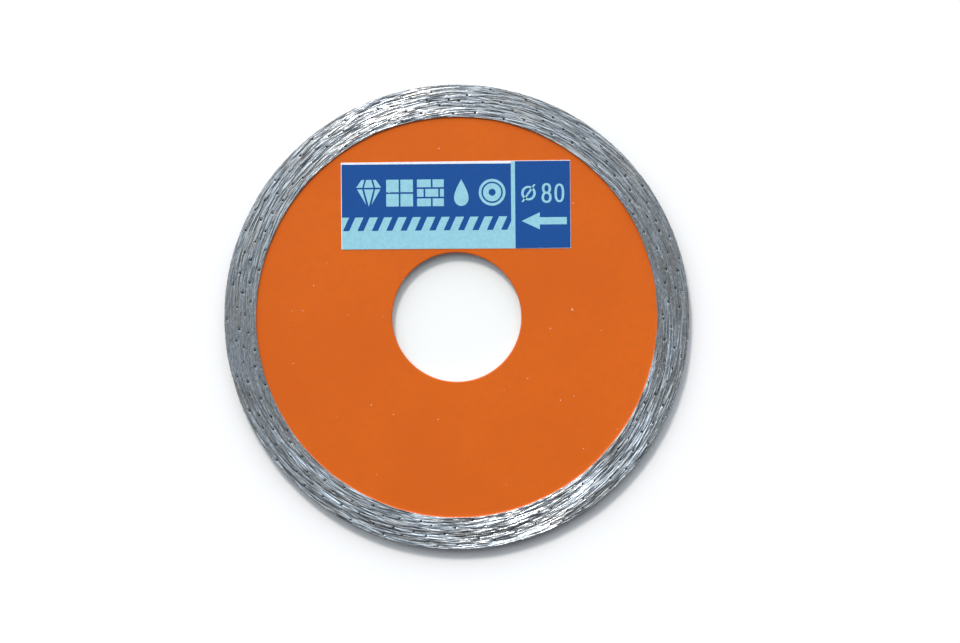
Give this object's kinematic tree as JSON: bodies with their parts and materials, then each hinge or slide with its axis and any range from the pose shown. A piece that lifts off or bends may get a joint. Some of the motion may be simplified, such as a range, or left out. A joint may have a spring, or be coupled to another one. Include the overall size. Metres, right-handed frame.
{
  "type": "continuous-rim diamond blade",
  "caption": "Small continuous-rim diamond blade: a painted steel disc with a plain arbor bore, a thicker sintered diamond rim and a printed sticker on its front.",
  "frame": {"origin": "centre of the arbor bore, halfway through the blade's thickness", "axes": "+Z along the axis the blade spins about, out of the printed face; +Y from the bore towards the middle of the sticker; +X to the right as the sticker is read"},
  "size_m": [0.08, 0.08, 0.002],
  "materials": {
    "core_steel": "cold-rolled sheet steel, seen at the bore",
    "sintered_bond": "ground sintered iron-bronze bond, streaked along the cut",
    "diamond": "dark synthetic diamond crystals",
    "orange_paint": "semi-gloss orange stoving enamel",
    "sticker": "printed film, dark blue and pale blue on white"
  },
  "bodies": {
    "root": {"steel_core": "core_steel", "rim_bond": "sintered_bond", "grit_front": "diamond", "grit_back": "diamond", "grit_edge": "diamond", "grit_buried": "diamond", "enamel_front": "orange_paint", "enamel_back": "orange_paint", "label": "sticker"}
  },
  "joints": []
}
